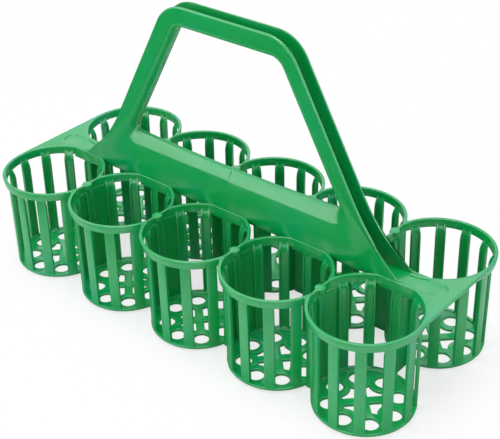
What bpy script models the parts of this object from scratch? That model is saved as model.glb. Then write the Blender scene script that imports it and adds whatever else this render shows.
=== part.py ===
# Ten-cup glass carrier with a central arched handle, in metres, +Z up.
# The underside of the cup floors lies at z = 0, +X runs along the long side
# and +Y points to the rear row of cups. The carrier is the same after half a
# turn about the vertical axis, so each rear piece is a front piece turned round.
import math

import bmesh
import bpy
from mathutils import Vector
from mathutils.geometry import interpolate_bezier

# Layout of the cups: neighbours in a row overlap, and the two rows stand apart
CUPS_PER_ROW = 5
RIM_OUTER_RADIUS = 0.0475
RIM_OVERLAP = 0.007
ROW_GAP = 0.01
CUP_HEIGHT = 0.0936
CLEARANCE = 0.0003
CUT_OVERRUN = 0.004

# Rim band round each mouth
RIM_THICKNESS = 0.0028
BAND_HEIGHT = 0.0076
BAND_DRAFT = 0.0011
BAND_INNER_DRAFT = 0.0009

# Upright slats of the cup wall
SLAT_SPACING_ANGLE = math.radians(30)
SLAT_WIDTH = 0.009
SLAT_THICKNESS = 0.003
SLAT_DRAFT = 0.0011
SLAT_TOP_DROP = 0.0036
SLAT_TAPER_HEIGHT = 0.0125
SLAT_TAPER_HEIGHT_SHARES = (0.93, 0.72, 0.4)
SLAT_TAPER_DEPTH_SHARES = (0.6, 0.25, 0.06)
SLOT_LIP = 0.0006

# Cup floor, with a ring of round holes and four curved openings round a cross
RIM_OVERHANG = 0.005
BASE_ROUND = 0.0035
FLOOR_THICKNESS = 0.0024
SLOT_SILL = 0.0016
FLOOR_HOLES = 8
HOLE_SHARE = 0.167
HOLE_CIRCLE_SHARE = 0.668
HOLE_BAND_SHARE = 0.301
CROSS_ARMS = 4
CROSS_HALF_WIDTH = 0.0037

# Flat dividers between neighbouring cups, each with a button on top
DIVIDER_THICKNESS = 0.0022
DIVIDER_END_REACH = 0.0018
DIVIDER_TOP_DROP = 0.0011
DIVIDER_FOOT = 0.0005
BUTTON_RADIUS = 0.0045
BUTTON_HEIGHT = 0.0035
BUTTON_TOP_DROP = 0.0005

# Upright webs between the two rows, one at each pair of facing cups
ROW_WEB_THICKNESS = 0.0022
ROW_WEB_FOOT = 0.0005

# End decks, with a shallow round-ended recess that the handle's feet run into
DECK_THICKNESS = 0.0025
DECK_INNER_SHARE = 0.167
DECK_TIP_ANGLE = math.radians(9)
RECESS_DEPTH = 0.0012
RECESS_HALF_WIDTH = 0.0098
RECESS_END_DROP = 0.0107

# Handle: two half shells that meet in a groove along the middle
HANDLE_HEIGHT = 0.2706
HANDLE_THICKNESS = 0.0166
CHEEK_THICKNESS = 0.002
WEB_THICKNESS = 0.0026
LIP_BEVEL = 0.0006
GROOVE_DEPTH = 0.0004
BEAM_BOTTOM_DROP = 0.0039
BEAM_CREASE_RISE = 0.0315
CREST_END_RISE = 0.0131
CREST_SAG = 0.0034
CREST_TILT = math.radians(24)
ROUND_PULL_SHARE = 0.5523
LEG_WIDTH = 0.0179
LEG_ROUND = 0.006
INNER_ROUND_DROP = 0.0016
GRIP_HEIGHT = 0.0196
FLARE_REACH = 0.0587
LEG_LEAN = 0.0628
HOLE_FOOT_RADIUS = 0.004
HOLE_TOP_RADIUS = 0.014
SHOULDER_RADIUS = 0.034
FOOT_TIP_REACH = 0.0005
FOOT_TIP_RISE = 0.001
FLARE_HEIGHT = 0.0554
FLARE_UPPER_PULL = 0.026
FLARE_LOWER_PULL = 0.022
FLARE_TIP_ANGLE = math.radians(32)

# Foot webs that close the handle's channel down to the deck
FOOT_WEB_THICKNESS = 0.0024
FOOT_WEB_LEG_DEPTH = 0.0069
FOOT_WEB_DEPTH_SHARES = (1, 1.1, 1.06, 0.77, 0.52, 0.28, 0.05)
FOOT_WEB_OVERRUN = 0.0055
FOOT_WEB_END_THICKNESS = 0.0008

# Facets of round shapes
CUP_SEGMENTS = 24
HOLE_SEGMENTS = 10
BUTTON_SEGMENTS = 16
ARC_STEPS = 2
CORNER_STEPS = 3
DECK_STEPS = 14
RECESS_STEPS = 10
BEAM_STEPS = 5
FLARE_STEPS = 6
LEG_STEPS = 2
SHOULDER_STEPS = 5
GRIP_STEPS = 2
ROUND_STEPS = 4
INNER_ROUND_STEPS = 2
SMOOTH_ANGLE = math.radians(28)

# Finish of the green polypropylene
PLASTIC_COLOUR = (0.016, 0.38, 0.075, 1.0)
PLASTIC_ROUGHNESS = 0.34

# Sizes worked out from the driving ones
CUP_PITCH = 2 * RIM_OUTER_RADIUS - RIM_OVERLAP
END_CUP_X = CUP_PITCH * (CUPS_PER_ROW - 1) / 2
ROW_Y = RIM_OUTER_RADIUS + ROW_GAP / 2
BASE_RADIUS = RIM_OUTER_RADIUS - RIM_OVERHANG
HOLE_RADIUS = BASE_RADIUS * HOLE_SHARE
HOLE_CIRCLE_RADIUS = BASE_RADIUS * HOLE_CIRCLE_SHARE
HOLE_BAND_RADIUS = BASE_RADIUS * HOLE_BAND_SHARE
HALF_THICKNESS = HANDLE_THICKNESS / 2
RIM_INNER_RADIUS = RIM_OUTER_RADIUS - RIM_THICKNESS
BAND_BOTTOM = CUP_HEIGHT - BAND_HEIGHT
BEAM_BOTTOM = CUP_HEIGHT - BEAM_BOTTOM_DROP
BEAM_CREASE = BEAM_BOTTOM + BEAM_CREASE_RISE
CREST_END = BEAM_CREASE + CREST_END_RISE
HOLE_TOP = HANDLE_HEIGHT - GRIP_HEIGHT
FOOT_TIP_HALF = END_CUP_X + FOOT_TIP_REACH
FOOT_TIP_HEIGHT = CUP_HEIGHT + FOOT_TIP_RISE
HOLE_FOOT_HALF = FOOT_TIP_HALF - FLARE_REACH
HOLE_TOP_HALF = HOLE_FOOT_HALF - LEG_LEAN
RECESS_FLOOR = CUP_HEIGHT - RECESS_DEPTH
DECK_EDGE_X = END_CUP_X + RIM_OUTER_RADIUS
DIVIDER_FACE = DIVIDER_THICKNESS / 2
BAND_CROSSING = math.sqrt(RIM_OUTER_RADIUS ** 2 - (CUP_PITCH / 2) ** 2)
DIVIDER_HALF_LENGTH = BAND_CROSSING + DIVIDER_END_REACH
NEIGHBOUR_TRIM = CUP_PITCH / 2 - DIVIDER_FACE - CLEARANCE


def polar(radius, angle):
    """A point in the plane at a radius and an angle."""
    return Vector((radius * math.cos(angle), radius * math.sin(angle)))


def arc(centre, radius, start, end, steps):
    """Points of an arc, both ends included."""
    turns = [start + (end - start) * step / steps for step in range(steps + 1)]
    return [centre + polar(radius, turn) for turn in turns]


def plastic(name):
    """Material of one piece: green polypropylene with a soft gloss."""
    material = bpy.data.materials.new(name)
    material.use_nodes = True
    shader = material.node_tree.nodes["Principled BSDF"]
    shader.inputs["Base Color"].default_value = PLASTIC_COLOUR
    shader.inputs["Roughness"].default_value = PLASTIC_ROUGHNESS
    shader.inputs["Metallic"].default_value = 0
    material.diffuse_color = PLASTIC_COLOUR
    return material


def to_object(name, shape):
    """Turn a bmesh into a linked object, with its normals pointing out."""
    bmesh.ops.recalc_face_normals(shape, faces=shape.faces)
    mesh = bpy.data.meshes.new(name)
    shape.to_mesh(mesh)
    shape.free()
    body = bpy.data.objects.new(name, mesh)
    bpy.context.collection.objects.link(body)
    return body


def skin(shape, rings, closed):
    """Join rings of points, one face between each pair of neighbours."""
    rows = [[shape.verts.new(point) for point in ring] for ring in rings]
    count = len(rows[0])
    last = len(rows) if closed else len(rows) - 1
    for index in range(last):
        near = rows[index]
        far = rows[(index + 1) % len(rows)]
        for place in range(count):
            beside = (place + 1) % count
            shape.faces.new((near[place], near[beside], far[beside], far[place]))
    return rows


def turned(name, profile):
    """Solid of revolution whose first and last rings are closed with a disc."""
    shape = bmesh.new()
    turns = [math.tau * step / CUP_SEGMENTS for step in range(CUP_SEGMENTS)]
    rings = [[(*polar(radius, turn), height) for turn in turns] for radius, height in profile]
    rows = skin(shape, rings, closed=False)
    shape.faces.new(rows[0])
    shape.faces.new(rows[-1])
    return to_object(name, shape)


def add_prism(shape, outline, bottom, top):
    """Add an upright prism over a closed outline to a bmesh."""
    lower = [shape.verts.new((point[0], point[1], bottom)) for point in outline]
    upper = [shape.verts.new((point[0], point[1], top)) for point in outline]
    count = len(outline)
    shape.faces.new(lower)
    shape.faces.new(upper)
    for place in range(count):
        beside = (place + 1) % count
        shape.faces.new((lower[place], lower[beside], upper[beside], upper[place]))


def add_box(shape, x_range, y_range, z_range):
    """Add a box given by its ranges along X, Y and Z to a bmesh."""
    outline = [(x_range[0], y_range[0]), (x_range[1], y_range[0])]
    outline += [(x_range[1], y_range[1]), (x_range[0], y_range[1])]
    add_prism(shape, outline, z_range[0], z_range[1])


def combine(body, tool, operation):
    """Apply an exact Boolean of a tool to a body, and remove the tool."""
    modifier = body.modifiers.new("combine", "BOOLEAN")
    modifier.operation = operation
    modifier.solver = "EXACT"
    modifier.object = tool
    evaluated = body.evaluated_get(bpy.context.evaluated_depsgraph_get())
    result = bpy.data.meshes.new_from_object(evaluated)
    result.name = body.name
    body.modifiers.clear()
    body.data = result
    bpy.data.objects.remove(tool)


def round_rect_end(reach, half_width, inner):
    """Outline of a slot along +X that ends in a half circle at its reach."""
    centre = Vector((reach - half_width, 0))
    end = arc(centre, half_width, -math.pi / 2, math.pi / 2, RECESS_STEPS)
    return [Vector((inner, -half_width))] + end + [Vector((inner, half_width))]


def slat_outer_radius(height):
    """Outer radius of the slatted wall, which widens slightly upward."""
    return BASE_RADIUS + SLAT_DRAFT * height / CUP_HEIGHT


def band_inner_radius(height):
    """Inner radius of the rim band, which narrows slightly downward."""
    return RIM_INNER_RADIUS - BAND_INNER_DRAFT * (CUP_HEIGHT - height) / BAND_HEIGHT


def cup_profile():
    """Half section of a cup before its slots are cut, from the floor's underside."""
    centre = Vector((BASE_RADIUS - BASE_ROUND, BASE_ROUND))
    profile = arc(centre, BASE_ROUND, -math.pi / 2, 0, ARC_STEPS)
    profile.append(Vector((slat_outer_radius(BAND_BOTTOM), BAND_BOTTOM)))
    profile.append(Vector((RIM_OUTER_RADIUS - BAND_DRAFT, BAND_BOTTOM)))
    profile.append(Vector((RIM_OUTER_RADIUS, CUP_HEIGHT)))
    profile.append(Vector((RIM_INNER_RADIUS, CUP_HEIGHT)))
    slat_top = CUP_HEIGHT - SLAT_TOP_DROP
    profile.append(Vector((band_inner_radius(slat_top), slat_top)))
    taper_foot = slat_top - SLAT_TAPER_HEIGHT
    foot_radius = slat_outer_radius(taper_foot) - SLAT_THICKNESS
    depth = band_inner_radius(slat_top) - foot_radius
    for up, out in zip(SLAT_TAPER_HEIGHT_SHARES, SLAT_TAPER_DEPTH_SHARES):
        profile.append(Vector((foot_radius + depth * out, taper_foot + SLAT_TAPER_HEIGHT * up)))
    profile.append(Vector((foot_radius, taper_foot)))
    profile.append(Vector((BASE_RADIUS - SLAT_THICKNESS, FLOOR_THICKNESS)))
    return profile


def slot_section():
    """Half section of a slot's cutter, stepped to follow the inside of the band."""
    inside = BASE_RADIUS - SLAT_THICKNESS - CUT_OVERRUN
    outside = RIM_OUTER_RADIUS + CUT_OVERRUN
    sill = FLOOR_THICKNESS + SLOT_SILL
    top = BAND_BOTTOM - SLOT_LIP
    shelf = CUP_HEIGHT - SLAT_TOP_DROP + CLEARANCE
    step_radius = band_inner_radius(shelf) - CLEARANCE / 4
    section = [(inside, sill), (outside, sill), (outside, top)]
    section += [(band_inner_radius(top), top), (step_radius, shelf), (inside, shelf)]
    return section


def slot_cutters():
    """Cutters of all the slots between the slats, as one object."""
    shape = bmesh.new()
    half_slat = math.asin(SLAT_WIDTH / 2 / BASE_RADIUS)
    slats = round(math.tau / SLAT_SPACING_ANGLE)
    for slot in range(slats):
        start = slot * SLAT_SPACING_ANGLE + half_slat
        middle = (slot + 1 / 2) * SLAT_SPACING_ANGLE
        end = (slot + 1) * SLAT_SPACING_ANGLE - half_slat
        rings = [[(*polar(radius, turn), height) for radius, height in slot_section()]
                 for turn in (start, middle, end)]
        rows = skin(shape, rings, closed=False)
        shape.faces.new(rows[0])
        shape.faces.new(rows[-1])
    return to_object("slot_cutters", shape)


def cross_opening(axis_angle):
    """Outline of one floor opening between two arms of the cross."""
    step = math.tau / FLOOR_HOLES
    corner = CROSS_HALF_WIDTH * math.sqrt(2)
    horn_radius = HOLE_CIRCLE_RADIUS * math.cos(step / 2) - math.sqrt(
        HOLE_BAND_RADIUS ** 2 - (HOLE_CIRCLE_RADIUS * math.sin(step / 2)) ** 2)
    horn = polar(horn_radius, step / 2) - Vector((HOLE_CIRCLE_RADIUS, 0))
    horn_angle = math.atan2(horn.y, horn.x)
    arm_angle = math.pi - math.asin(CROSS_HALF_WIDTH / HOLE_BAND_RADIUS)
    spans = ((-step, arm_angle, horn_angle), (0, math.tau - horn_angle, horn_angle),
             (step, math.tau - horn_angle, math.tau - arm_angle))
    outline = [polar(corner, axis_angle)]
    for offset, start, end in spans:
        turn = axis_angle + offset
        points = arc(polar(HOLE_CIRCLE_RADIUS, turn), HOLE_BAND_RADIUS, turn + start, turn + end, ARC_STEPS)
        outline += points if offset == -step else points[1:]
    return outline


def floor_cutters():
    """Cutters of the floor's round holes and of its four curved openings."""
    shape = bmesh.new()
    bottom = -CUT_OVERRUN
    top = FLOOR_THICKNESS + CUT_OVERRUN
    for hole in range(FLOOR_HOLES):
        centre = polar(HOLE_CIRCLE_RADIUS, math.tau * hole / FLOOR_HOLES)
        ring = arc(centre, HOLE_RADIUS, 0, math.tau, HOLE_SEGMENTS)
        add_prism(shape, ring[:-1], bottom, top)
    for arm in range(CROSS_ARMS):
        add_prism(shape, cross_opening(math.tau * arm / CROSS_ARMS), bottom, top)
    return to_object("floor_cutters", shape)


def neighbour_cutters(sides):
    """Cutters that trim a cup flat where a divider stands beside it."""
    shape = bmesh.new()
    reach = RIM_OUTER_RADIUS + CUT_OVERRUN
    for side in sides:
        x_range = sorted((side * NEIGHBOUR_TRIM, side * reach))
        add_box(shape, x_range, (-reach, reach), (-CUT_OVERRUN, CUP_HEIGHT + CUT_OVERRUN))
    return to_object("neighbour_cutters", shape)


def handle_seat_cutter(cup_x):
    """Cutter of the seat that the handle's cheek takes in a front cup's band."""
    shape = bmesh.new()
    seat = FOOT_TIP_HALF + CLEARANCE
    x_range = (max(-seat - cup_x, -CUP_PITCH), min(seat - cup_x, CUP_PITCH))
    y_range = (ROW_Y - HALF_THICKNESS - CLEARANCE, ROW_Y + HALF_THICKNESS)
    add_box(shape, x_range, y_range, (BEAM_BOTTOM - CLEARANCE, CUP_HEIGHT + CUT_OVERRUN))
    return to_object("handle_seat_cutter", shape)


def recess_outline():
    """Outline of the deck's recess, seen from the middle of the carrier."""
    inner = END_CUP_X - CUP_PITCH / 2
    return round_rect_end(DECK_EDGE_X - RECESS_END_DROP, RECESS_HALF_WIDTH, inner)


def recess_cutter(side, cup_x=0, cup_y=0):
    """Cutter of the recess in a deck, or in an end cup given its place."""
    shape = bmesh.new()
    outline = [(side * point.x - cup_x, point.y - cup_y) for point in recess_outline()]
    add_prism(shape, outline, RECESS_FLOOR, CUP_HEIGHT + CUT_OVERRUN)
    return to_object("recess_cutter", shape)


def front_cup(column):
    """One cup of the front row, about its own axis."""
    cup_x = (column - (CUPS_PER_ROW - 1) / 2) * CUP_PITCH
    side = (cup_x > 0) - (cup_x < 0)
    cup = turned(f"cup_front_{column + 1}", cup_profile())
    combine(cup, slot_cutters(), "DIFFERENCE")
    combine(cup, floor_cutters(), "DIFFERENCE")
    sides = [way for way in (-1, 1) if abs(cup_x + way * CUP_PITCH) <= END_CUP_X + CLEARANCE]
    combine(cup, neighbour_cutters(sides), "DIFFERENCE")
    combine(cup, handle_seat_cutter(cup_x), "DIFFERENCE")
    if column in (0, CUPS_PER_ROW - 1):
        combine(cup, recess_cutter(side, cup_x, -ROW_Y), "DIFFERENCE")
    cup.location = (cup_x, -ROW_Y, 0)
    return cup


def divider(name):
    """Upright divider between two cups, with its button."""
    shape = bmesh.new()
    top = CUP_HEIGHT - DIVIDER_TOP_DROP
    y_range = (-DIVIDER_HALF_LENGTH, DIVIDER_HALF_LENGTH)
    add_box(shape, (-DIVIDER_FACE, DIVIDER_FACE), y_range, (DIVIDER_FOOT, top))
    wall = to_object(name, shape)
    button = bmesh.new()
    button_top = CUP_HEIGHT - BUTTON_TOP_DROP
    ring = arc(Vector((0, 0)), BUTTON_RADIUS, 0, math.tau, BUTTON_SEGMENTS)
    add_prism(button, ring[:-1], button_top - BUTTON_HEIGHT, button_top)
    combine(wall, to_object("button", button), "UNION")
    return wall


def row_web_outline():
    """Right half of a row web's outline, from its foot up to the beam."""
    top = BEAM_BOTTOM - CLEARANCE
    shoulder = BAND_BOTTOM - CLEARANCE
    band_slope = BAND_DRAFT / BAND_HEIGHT
    band_foot_radius = RIM_OUTER_RADIUS - BAND_DRAFT
    top_radius = RIM_OUTER_RADIUS - band_slope * (CUP_HEIGHT - top)
    radii = ((BASE_RADIUS, ROW_WEB_FOOT), (BASE_RADIUS, BASE_ROUND), (slat_outer_radius(shoulder), shoulder),
             (band_foot_radius, shoulder), (top_radius, top))
    return [Vector((ROW_Y - radius - CLEARANCE, height)) for radius, height in radii]


def row_web(column):
    """Upright web that ties one front cup to the rear cup that faces it."""
    half = row_web_outline()
    outline = half + [Vector((-point.x, point.y)) for point in reversed(half)]
    side = ROW_WEB_THICKNESS / 2
    shape = bmesh.new()
    rings = [[(x, point.x, point.y) for point in outline] for x in (-side, side)]
    rows = skin(shape, rings, closed=False)
    shape.faces.new(rows[0])
    shape.faces.new(rows[-1])
    web = to_object(f"row_web_{column + 1}", shape)
    web.location = (column * CUP_PITCH - END_CUP_X, 0, 0)
    return web


def deck_outline():
    """Outline of the right deck, between the two end cups' rims."""
    reach = RIM_OUTER_RADIUS + CLEARANCE
    inner_angle = math.acos(-DECK_INNER_SHARE)
    edge_reach = math.acos((DECK_EDGE_X - END_CUP_X) / reach * math.cos(DECK_TIP_ANGLE))
    front = arc(Vector((END_CUP_X, -ROW_Y)), reach, edge_reach, inner_angle, DECK_STEPS)
    rear = [Vector((point.x, -point.y)) for point in reversed(front)]
    tip_y = front[0].y
    return [Vector((DECK_EDGE_X, tip_y))] + front + rear + [Vector((DECK_EDGE_X, -tip_y))]


def right_deck():
    """Flat web at rim level that joins the two right-hand end cups."""
    shape = bmesh.new()
    add_prism(shape, deck_outline(), CUP_HEIGHT - DECK_THICKNESS, CUP_HEIGHT)
    deck = to_object("deck_right", shape)
    combine(deck, recess_cutter(1), "DIFFERENCE")
    return deck


# Direction of the right leg, going up and leaning in, and the way out of it
LEG_WAY = Vector((HOLE_TOP_HALF - HOLE_FOOT_HALF, HOLE_TOP - CREST_END)).normalized()
LEG_OUT = Vector((LEG_WAY.y, -LEG_WAY.x))
DOWN = Vector((0, -1))
UP = Vector((0, 1))


def fillet(corner, way_in, way_out, radius, steps):
    """Points of the arc that rounds a corner, and the outward way at each."""
    out_start = Vector((way_in.y, -way_in.x))
    turning = way_in.angle(way_out)
    tangent = radius * math.tan(turning / 2)
    centre = corner - way_in * tangent - out_start * radius
    first = math.atan2(out_start.y, out_start.x)
    turns = [first + turning * step / steps for step in range(steps + 1)]
    return [(centre + polar(radius, turn), polar(1, turn)) for turn in turns]


def crest_height(x):
    """Height of the beam's rounded top, which sags towards the middle."""
    return CREST_END - CREST_SAG * (1 - (x / HOLE_FOOT_HALF) ** 2)


def hole_stations():
    """Right half of the hand hole: edge point, way out, round depth, width and tilt.

    The round depth is measured in the plane of the cheek and the round width
    across it. The tilt is that of the crease where the beam's rounded top meets
    its face. All three pass from the beam's full round to the leg's smaller one.
    """
    beam_width = HALF_THICKNESS - CLEARANCE / 2
    level = Vector((1, 0))
    foot = fillet(Vector((HOLE_FOOT_HALF, CREST_END)), level, LEG_WAY, HOLE_FOOT_RADIUS, CORNER_STEPS)
    head = fillet(Vector((HOLE_TOP_HALF, HOLE_TOP)), LEG_WAY, -level, HOLE_TOP_RADIUS, SHOULDER_STEPS)
    beam_end = foot[0][0].x
    stations = []
    for step in range(BEAM_STEPS):
        x = beam_end * step / BEAM_STEPS
        crest = crest_height(x)
        stations.append((Vector((x, crest)), DOWN, crest - BEAM_CREASE, beam_width, CREST_TILT))
    for step, (point, out) in enumerate(foot):
        share = step / CORNER_STEPS
        depth = (CREST_END - BEAM_CREASE) * (1 - share) + LEG_ROUND * share
        width = beam_width * (1 - share) + LEG_ROUND * share
        stations.append((point, out, depth, width, CREST_TILT * (1 - share)))
    leg_steps = FLARE_STEPS + LEG_STEPS
    for step in range(1, leg_steps):
        point = foot[-1][0].lerp(head[0][0], step / leg_steps)
        stations.append((point, LEG_OUT, LEG_ROUND, LEG_ROUND, 0))
    stations += [(point, out, LEG_ROUND, LEG_ROUND, 0) for point, out in head]
    for step in range(1, GRIP_STEPS + 1):
        x = head[-1][0].x * (1 - step / GRIP_STEPS)
        stations.append((Vector((x, HOLE_TOP)), UP, LEG_ROUND, LEG_ROUND, 0))
    return stations


def leg_outer_point(height):
    """Point of the right leg's outer edge at a height, on its straight run."""
    start = Vector((HOLE_FOOT_HALF, CREST_END)) + LEG_OUT * LEG_WIDTH
    return start + LEG_WAY * ((height - start.y) / LEG_WAY.y)


def flare():
    """Curve of the leg's outer edge from its straight run to the foot's tip."""
    top = leg_outer_point(CUP_HEIGHT + FLARE_HEIGHT)
    tip = Vector((FOOT_TIP_HALF, FOOT_TIP_HEIGHT))
    upper = top - LEG_WAY * FLARE_UPPER_PULL
    lower = tip + polar(FLARE_LOWER_PULL, math.pi - FLARE_TIP_ANGLE)
    curve = interpolate_bezier(top.to_3d(), upper.to_3d(), lower.to_3d(), tip.to_3d(), FLARE_STEPS + 1)
    return [point.to_2d() for point in curve]


def outline_stations():
    """Right half of the handle's outer edge, point for point with the hole's."""
    base_split = HOLE_FOOT_HALF + (FOOT_TIP_HALF - HOLE_FOOT_HALF) / 2
    stations = [Vector((base_split * step / BEAM_STEPS, BEAM_BOTTOM)) for step in range(BEAM_STEPS)]
    for step in range(CORNER_STEPS):
        x = base_split + (FOOT_TIP_HALF - base_split) * step / (CORNER_STEPS - 1)
        stations.append(Vector((x, BEAM_BOTTOM)))
    stations += reversed(flare())
    corner = leg_outer_point(HANDLE_HEIGHT)
    shoulder = fillet(corner, LEG_WAY, Vector((-1, 0)), SHOULDER_RADIUS, SHOULDER_STEPS)
    leg_foot = stations[-1]
    for step in range(1, LEG_STEPS):
        stations.append(leg_foot.lerp(shoulder[0][0], step / LEG_STEPS))
    stations += [point for point, out in shoulder]
    for step in range(1, GRIP_STEPS + 1):
        x = shoulder[-1][0].x * (1 - step / GRIP_STEPS)
        stations.append(Vector((x, HANDLE_HEIGHT)))
    return stations


def whole_loop(half):
    """Closed loop of a half that starts and ends on the middle plane."""
    left = [Vector((-point.x, point.y)) for point in reversed(half[1:-1])]
    return half + left


def inset_loop(loop, amount):
    """A closed loop moved inwards by an amount, square to its own run."""
    count = len(loop)
    moved = []
    for place, point in enumerate(loop):
        before = (point - loop[place - 1]).normalized()
        after = (loop[(place + 1) % count] - point).normalized()
        way = (before + after).normalized()
        moved.append(point + Vector((-way.y, way.x)) * amount / max(way.dot(after), 1 / 2))
    return moved


def ring_at(loop, depth):
    """Points of a loop in the handle's plane, at a depth across it."""
    return [(point.x, depth, point.y) for point in loop]


def round_point(depth, width, tilt, share):
    """Point of a rounded edge's section, as (across, in the plane)."""
    start = Vector((0, depth))
    end = Vector((width, 0))
    first = start - polar(depth, math.pi / 2 + tilt) * ROUND_PULL_SHARE
    second = end - Vector((width, 0)) * ROUND_PULL_SHARE
    low = start.lerp(first, share)
    middle = first.lerp(second, share)
    high = second.lerp(end, share)
    return low.lerp(middle, share).lerp(middle.lerp(high, share), share)


def round_ring(stations, share, web, cheek, drop):
    """Ring of a shell's rounded edge at a share of the way from face to web.

    The web's and the cheek's thickness set the ring back from the outside, and
    the drop makes the round smaller.
    """
    half = []
    depths = []
    for point, out, round_depth, round_width, tilt in stations:
        place = round_point(round_depth - drop - web, round_width - drop - cheek, tilt, share)
        half.append(point + out * (web + place.y))
        depths.append(cheek + place.x - HALF_THICKNESS)
    loop = whole_loop(half)
    depth_loop = depths + depths[-2:0:-1]
    return [(point.x, depth, point.y) for point, depth in zip(loop, depth_loop)]


def front_half_shell():
    """Front half of the handle: a cheek that rounds over into half the web."""
    outline = whole_loop(outline_stations())
    stations = hole_stations()
    inner_face = CHEEK_THICKNESS - HALF_THICKNESS
    parting = -CLEARANCE / 2
    rings = [ring_at(outline, inner_face), ring_at(outline, LIP_BEVEL - HALF_THICKNESS)]
    rings.append(ring_at(inset_loop(outline, LIP_BEVEL), -HALF_THICKNESS))
    for step in range(ROUND_STEPS + 1):
        rings.append(round_ring(stations, step / ROUND_STEPS, 0, 0, 0))
    groove = [point + out * GROOVE_DEPTH for point, out, depth, width, tilt in stations]
    rings.append(ring_at(whole_loop(groove), parting))
    web = [point + out * WEB_THICKNESS for point, out, depth, width, tilt in stations]
    rings.append(ring_at(whole_loop(web), parting))
    for step in range(INNER_ROUND_STEPS, -1, -1):
        share = step / INNER_ROUND_STEPS
        rings.append(round_ring(stations, share, WEB_THICKNESS, CHEEK_THICKNESS, INNER_ROUND_DROP))
    shape = bmesh.new()
    skin(shape, rings, closed=True)
    return to_object("handle_front_shell", shape)


def right_foot_web():
    """Curved web between the cheeks, from the right leg down to the deck."""
    curve = flare()
    leg_depth = LEG_WIDTH - FOOT_WEB_LEG_DEPTH
    floor = RECESS_FLOOR + CLEARANCE
    upper = []
    lower = []
    for step, (point, share) in enumerate(zip(curve, FOOT_WEB_DEPTH_SHARES)):
        before = curve[max(step - 1, 0)]
        after = curve[min(step + 1, FLARE_STEPS)]
        way = (after - before).normalized()
        inward = Vector((way.y, -way.x))
        depth = leg_depth * share
        top = point + inward * depth
        under = point + inward * (depth + FOOT_WEB_THICKNESS)
        upper.append(top)
        lower.append(Vector((under.x, max(under.y, floor))))
    end_x = FOOT_TIP_HALF + FOOT_WEB_OVERRUN
    upper.append(Vector((end_x, floor + FOOT_WEB_END_THICKNESS)))
    lower.append(Vector((end_x, floor)))
    outline = upper + lower[::-1]
    half_width = HALF_THICKNESS - CHEEK_THICKNESS - CLEARANCE
    shape = bmesh.new()
    rings = [[(point.x, side, point.y) for point in outline] for side in (-half_width, half_width)]
    rows = skin(shape, rings, closed=False)
    shape.faces.new(rows[0])
    shape.faces.new(rows[-1])
    return to_object("foot_web_right", shape)


def turned_round(body, name):
    """A copy of a piece after half a turn about the carrier's middle."""
    twin = bpy.data.objects.new(name, body.data)
    bpy.context.collection.objects.link(twin)
    twin.location = (-body.location.x, -body.location.y, body.location.z)
    twin.rotation_euler = (0, 0, math.pi)
    return twin


def finish(body):
    """Give a piece its material and its smooth round faces."""
    mesh = body.data
    if not mesh.materials:
        mesh.materials.append(plastic(f"{body.name}_plastic"))
        mesh.shade_smooth()
        mesh.set_sharp_from_angle(angle=SMOOTH_ANGLE)


def build():
    """Build every piece of the carrier."""
    for old in list(bpy.data.objects):
        bpy.data.objects.remove(old)
    pieces = []
    for column in range(CUPS_PER_ROW):
        cup = front_cup(column)
        pieces += [cup, turned_round(cup, f"cup_rear_{CUPS_PER_ROW - column}")]
    for gap in range(CUPS_PER_ROW - 1):
        wall = divider(f"divider_front_{gap + 1}")
        wall.location = ((gap + 1) * CUP_PITCH - CUP_PITCH / 2 - END_CUP_X, -ROW_Y, 0)
        pieces += [wall, turned_round(wall, f"divider_rear_{CUPS_PER_ROW - 1 - gap}")]
    pieces += [row_web(column) for column in range(CUPS_PER_ROW)]
    deck = right_deck()
    shell = front_half_shell()
    foot = right_foot_web()
    pieces += [deck, turned_round(deck, "deck_left")]
    pieces += [shell, turned_round(shell, "handle_rear_shell")]
    pieces += [foot, turned_round(foot, "foot_web_left")]
    for piece in pieces:
        finish(piece)


build()
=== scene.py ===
# The ten-cup glass carrier, dressed over its fixed frame, in metres with +Z up.
import math

import bmesh
import bpy
from mathutils import Euler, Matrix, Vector
from mathutils.geometry import interpolate_bezier

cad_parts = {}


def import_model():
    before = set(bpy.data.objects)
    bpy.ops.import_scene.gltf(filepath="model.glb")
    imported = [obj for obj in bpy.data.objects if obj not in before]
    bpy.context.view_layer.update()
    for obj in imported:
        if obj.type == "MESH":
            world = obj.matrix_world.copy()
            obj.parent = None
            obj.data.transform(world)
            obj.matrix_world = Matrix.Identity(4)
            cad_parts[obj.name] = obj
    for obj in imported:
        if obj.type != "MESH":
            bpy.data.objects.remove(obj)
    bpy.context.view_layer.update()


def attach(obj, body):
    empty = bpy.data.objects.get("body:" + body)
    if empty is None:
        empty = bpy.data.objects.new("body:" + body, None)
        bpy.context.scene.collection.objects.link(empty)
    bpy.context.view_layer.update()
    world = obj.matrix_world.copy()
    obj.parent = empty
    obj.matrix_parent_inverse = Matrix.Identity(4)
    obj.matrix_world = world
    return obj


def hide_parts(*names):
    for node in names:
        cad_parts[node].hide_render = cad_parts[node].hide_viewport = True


# Sizes that the frame gives
CUPS_PER_ROW = 5
CUP_PITCH = 0.088
ROW_Y = 0.0525
CUP_HEIGHT = 0.0936
END_CUP_X = CUP_PITCH * 2
DECK_EDGE_X = 0.2235

# Cutters, and the hair by which one shape laps or clears another
CUTTER_REACH = 0.06
CUTTER_HEIGHTS = (-0.01, 0.11)
CUTTER_PAST = 0.004
LAP = 0.0002
HAIR = 0.0001

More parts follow.
